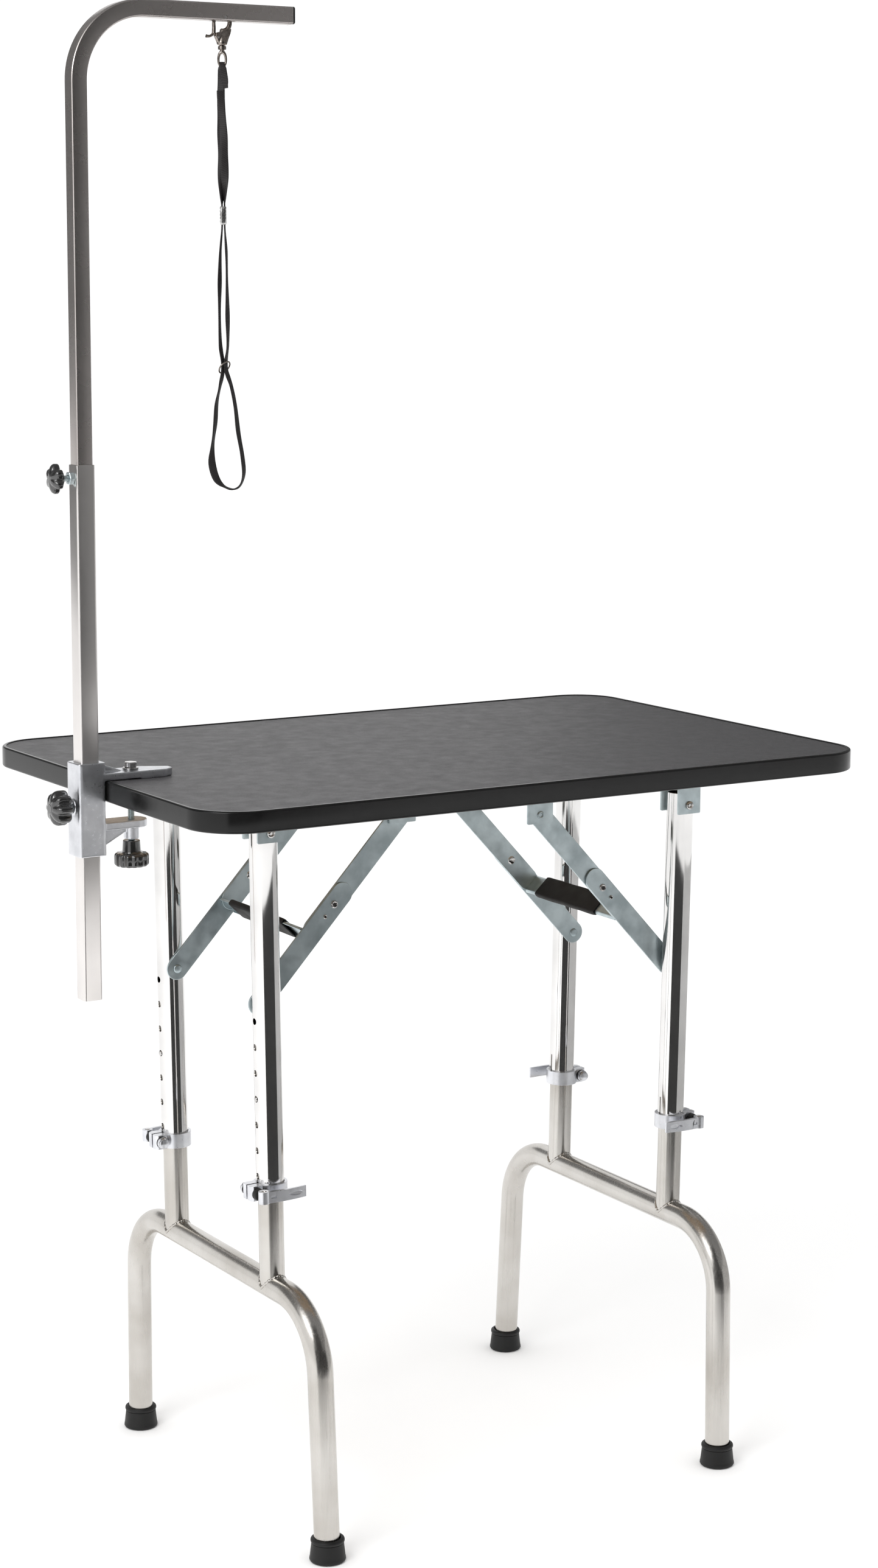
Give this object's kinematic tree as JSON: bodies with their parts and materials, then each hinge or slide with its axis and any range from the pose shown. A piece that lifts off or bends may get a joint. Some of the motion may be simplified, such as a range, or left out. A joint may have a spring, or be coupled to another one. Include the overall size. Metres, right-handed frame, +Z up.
{
  "type": "grooming table",
  "caption": "Folding pet grooming table: padded rectangular top on two height-adjustable folding leg sets, with a clamped telescoping arm and a hanging noose.",
  "frame": {"origin": "centre of the footprint box on the floor, below the table top", "axes": "+X along the table top, from the clamped arm to the free end; +Y across the top; +Z up"},
  "size_m": [0.979, 0.6096, 1.7898],
  "materials": {
    "mat": "woven-texture rubber mat",
    "board": "plain board",
    "band": "glossy black edge band",
    "leg_chrome": "mirror-polished chrome",
    "satin_tube": "satin stainless tube",
    "zinc": "bright zinc plate",
    "cast": "silver casting",
    "black_rubber": "black rubber",
    "grip": "soft black foam rubber",
    "knob": "glossy black plastic",
    "strap": "black nylon webbing",
    "bright": "nickel-plated steel"
  },
  "bodies": {
    "table": {"top_board": "board", "top_mat": "mat", "edge_band": "band", "left_front_hinge_bracket": "zinc", "left_front_brace_bracket": "zinc", "left_rear_hinge_bracket": "zinc", "left_rear_brace_bracket": "zinc", "right_front_hinge_bracket": "zinc", "right_front_brace_bracket": "zinc", "right_rear_hinge_bracket": "zinc", "right_rear_brace_bracket": "zinc"},
    "left_leg_set": {"left_front_upper_leg": "leg_chrome", "left_rear_upper_leg": "leg_chrome", "left_front_collar": "cast", "left_rear_collar": "cast"},
    "left_extension": {"left_lower_frame": "satin_tube", "left_front_foot": "black_rubber", "left_rear_foot": "black_rubber"},
    "left_brace": {"left_upper_brace": "zinc", "left_grip": "grip"},
    "left_front_link": {"left_front_lower_link": "zinc"},
    "left_front_lever": {"left_front_cam_lever": "cast"},
    "left_front_button": {"left_front_spring_button": "bright"},
    "left_rear_link": {"left_rear_lower_link": "zinc"},
    "left_rear_lever": {"left_rear_cam_lever": "cast"},
    "left_rear_button": {"left_rear_spring_button": "bright"},
    "right_leg_set": {"right_front_upper_leg": "leg_chrome", "right_rear_upper_leg": "leg_chrome", "right_front_collar": "cast", "right_rear_collar": "cast"},
    "right_extension": {"right_lower_frame": "satin_tube", "right_front_foot": "black_rubber", "right_rear_foot": "black_rubber"},
    "right_brace": {"right_upper_brace": "zinc", "right_grip": "grip"},
    "right_front_link": {"right_front_lower_link": "zinc"},
    "right_front_lever": {"right_front_cam_lever": "cast"},
    "right_front_button": {"right_front_spring_button": "bright"},
    "right_rear_link": {"right_rear_lower_link": "zinc"},
    "right_rear_lever": {"right_rear_cam_lever": "cast"},
    "right_rear_button": {"right_rear_spring_button": "bright"},
    "clamp": {"clamp_body": "cast", "clamp_bolt": "bright"},
    "clamp_screw_part": {"clamp_screw": "bright"},
    "clamp_screw_knob": {"clamp_knob": "knob"},
    "sleeve_knob": {"star_knob": "knob"},
    "mast_part": {"mast": "satin_tube"},
    "mast_screw": {"mast_knob": "knob"},
    "boom_part": {"boom": "satin_tube", "boom_end_cap": "black_rubber", "noose_pin": "bright"},
    "hook": {"snap_hook": "bright"},
    "gate": {"hook_gate": "bright"},
    "noose": {"swivel_eye": "bright", "noose_strap": "strap", "noose_slider": "bright", "noose_ring": "bright"}
  },
  "joints": [
    {"name": "left_fold", "type": "hinge", "parent": "table", "child": "left_leg_set", "pos_m": [-0.26622, 0, 0.8505], "axis": [0, -1, 0], "range_deg": [0, 39]},
    {"name": "left_brace_swing", "type": "hinge", "parent": "table", "child": "left_brace", "pos_m": [-0.06673, 0, 0.8505], "axis": [0, -1, 0], "range_deg": [-34.6, 0]},
    {"name": "left_height", "type": "slide", "parent": "left_leg_set", "child": "left_extension", "axis": [-0.0175, 0, 0.9998], "range_m": [-0.0939, 0.0939]},
    {"name": "left_front_link_swing", "type": "hinge", "parent": "left_leg_set", "child": "left_front_link", "pos_m": [-0.26257, -0.10625, 0.64103], "axis": [0, -1, 0], "range_deg": [0, 32.5]},
    {"name": "left_front_lever_cam", "type": "hinge", "parent": "left_leg_set", "child": "left_front_lever", "pos_m": [-0.28272, -0.1535, 0.42058], "axis": [0.0175, 0, -0.9998], "range_deg": [0, 110]},
    {"name": "left_front_button_press", "type": "slide", "parent": "left_extension", "child": "left_front_button", "axis": [0.9998, 0, 0.0175], "range_m": [0, 0.003], "stiffness_N_per_m": 400},
    {"name": "left_rear_link_swing", "type": "hinge", "parent": "left_leg_set", "child": "left_rear_link", "pos_m": [-0.26257, 0.10625, 0.64103], "axis": [0, -1, 0], "range_deg": [0, 32.5]},
    {"name": "left_rear_lever_cam", "type": "hinge", "parent": "left_leg_set", "child": "left_rear_lever", "pos_m": [-0.28272, 0.1535, 0.42058], "axis": [-0.0175, 0, 0.9998], "range_deg": [0, 110]},
    {"name": "left_rear_button_press", "type": "slide", "parent": "left_extension", "child": "left_rear_button", "axis": [0.9998, 0, 0.0175], "range_m": [0, 0.003], "stiffness_N_per_m": 400},
    {"name": "right_fold", "type": "hinge", "parent": "table", "child": "right_leg_set", "pos_m": [0.33077, 0, 0.831], "axis": [0, -1, 0], "range_deg": [-39, 0]},
    {"name": "right_brace_swing", "type": "hinge", "parent": "table", "child": "right_brace", "pos_m": [0.13128, 0, 0.831], "axis": [0, -1, 0], "range_deg": [0, 34.6]},
    {"name": "right_height", "type": "slide", "parent": "right_leg_set", "child": "right_extension", "axis": [-0.0175, 0, -0.9998], "range_m": [-0.0939, 0.0939]},
    {"name": "right_front_link_swing", "type": "hinge", "parent": "right_leg_set", "child": "right_front_link", "pos_m": [0.32712, -0.10625, 0.62153], "axis": [0, -1, 0], "range_deg": [-32.5, 0]},
    {"name": "right_front_lever_cam", "type": "hinge", "parent": "right_leg_set", "child": "right_front_lever", "pos_m": [0.34762, -0.1535, 0.42058], "axis": [0.0175, 0, 0.9998], "range_deg": [0, 110]},
    {"name": "right_front_button_press", "type": "slide", "parent": "right_extension", "child": "right_front_button", "axis": [-0.9998, 0, 0.0175], "range_m": [0, 0.003], "stiffness_N_per_m": 400},
    {"name": "right_rear_link_swing", "type": "hinge", "parent": "right_leg_set", "child": "right_rear_link", "pos_m": [0.32712, 0.10625, 0.62153], "axis": [0, -1, 0], "range_deg": [-32.5, 0]},
    {"name": "right_rear_lever_cam", "type": "hinge", "parent": "right_leg_set", "child": "right_rear_lever", "pos_m": [0.34762, 0.1535, 0.42058], "axis": [-0.0175, 0, -0.9998], "range_deg": [0, 110]},
    {"name": "right_rear_button_press", "type": "slide", "parent": "right_extension", "child": "right_rear_button", "axis": [-0.9998, 0, 0.0175], "range_m": [0, 0.003], "stiffness_N_per_m": 400},
    {"name": "clamp_along_edge", "type": "slide", "parent": "table", "child": "clamp", "axis": [0, 1, 0], "range_m": [-0.12, 0.12]},
    {"name": "clamp_screw_travel", "type": "slide", "parent": "clamp", "child": "clamp_screw_part", "axis": [0, 0, -1], "range_m": [0, 0.012]},
    {"name": "clamp_knob_turn", "type": "hinge", "parent": "clamp_screw_part", "child": "clamp_screw_knob", "pos_m": [-0.38622, -0.025, 0.8047], "axis": [0, 0, -1], "range_deg": [0, 3460]},
    {"name": "sleeve_knob_turn", "type": "hinge", "parent": "clamp", "child": "sleeve_knob", "pos_m": [-0.46198, -0.025, 0.881], "axis": [-1, 0, 0], "range_deg": [0, 720]},
    {"name": "mast_height", "type": "slide", "parent": "clamp", "child": "mast_part", "axis": [0, 0, 1], "range_m": [-0.1, 0.1]},
    {"name": "mast_knob_turn", "type": "hinge", "parent": "mast_part", "child": "mast_screw", "pos_m": [-0.45393, -0.025, 1.258], "axis": [-1, 0, 0], "range_deg": [0, 720]},
    {"name": "boom_height", "type": "slide", "parent": "mast_part", "child": "boom_part", "axis": [0, 0, 1], "range_m": [-0.12, 0.12]},
    {"name": "hook_swing", "type": "hinge", "parent": "boom_part", "child": "hook", "pos_m": [-0.25922, -0.025, 1.7741], "axis": [0, -1, 0], "range_deg": [-12, 40]},
    {"name": "gate_press", "type": "hinge", "parent": "hook", "child": "gate", "pos_m": [-0.26972, -0.025, 1.756], "axis": [0, 1, 0], "range_deg": [0, 14], "stiffness_Nm_per_rad": 0.02},
    {"name": "noose_swivel", "type": "hinge", "parent": "hook", "child": "noose", "pos_m": [-0.25922, -0.025, 1.74], "axis": [0, 0, 1], "continuous": true}
  ],
  "couplings": [
    {"joint": "left_brace_swing", "follows": "left_fold", "ratio": -0.8842},
    {"joint": "left_front_link_swing", "follows": "left_fold", "ratio": 0.82955},
    {"joint": "left_rear_link_swing", "follows": "left_fold", "ratio": 0.82955},
    {"joint": "right_brace_swing", "follows": "right_fold", "ratio": -0.8842},
    {"joint": "right_front_link_swing", "follows": "right_fold", "ratio": 0.82955},
    {"joint": "right_rear_link_swing", "follows": "right_fold", "ratio": 0.82955},
    {"joint": "clamp_knob_turn", "follows": "clamp_screw_travel", "rad_per_m": 5026.5}
  ]
}
